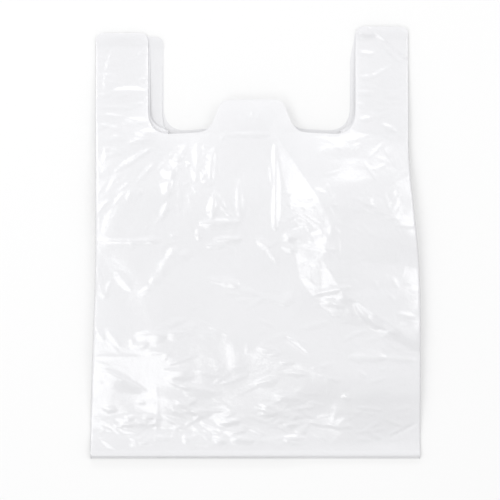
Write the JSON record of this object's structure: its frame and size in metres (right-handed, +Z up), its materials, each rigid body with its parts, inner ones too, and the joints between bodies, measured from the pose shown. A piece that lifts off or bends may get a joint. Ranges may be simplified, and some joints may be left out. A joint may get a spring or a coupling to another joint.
{
  "type": "plastic carrier bag",
  "caption": "Vest-style carrier bag of thin white film, gusseted tube welded at the bottom, with two loops and a tab at the mouth, lying flat on its back",
  "frame": {"origin": "centre of the bag's footprint on the surface that it lies on", "axes": "+X across the bag, +Y from the bottom weld to the loops, +Z up from the back panel to the front panel"},
  "size_m": [0.3816, 0.499, 0.0254],
  "materials": {
    "film": "thin, slightly see-through polythene film, glossy and creased"
  },
  "bodies": {
    "root": {"carrier_bag": "film"}
  },
  "joints": []
}
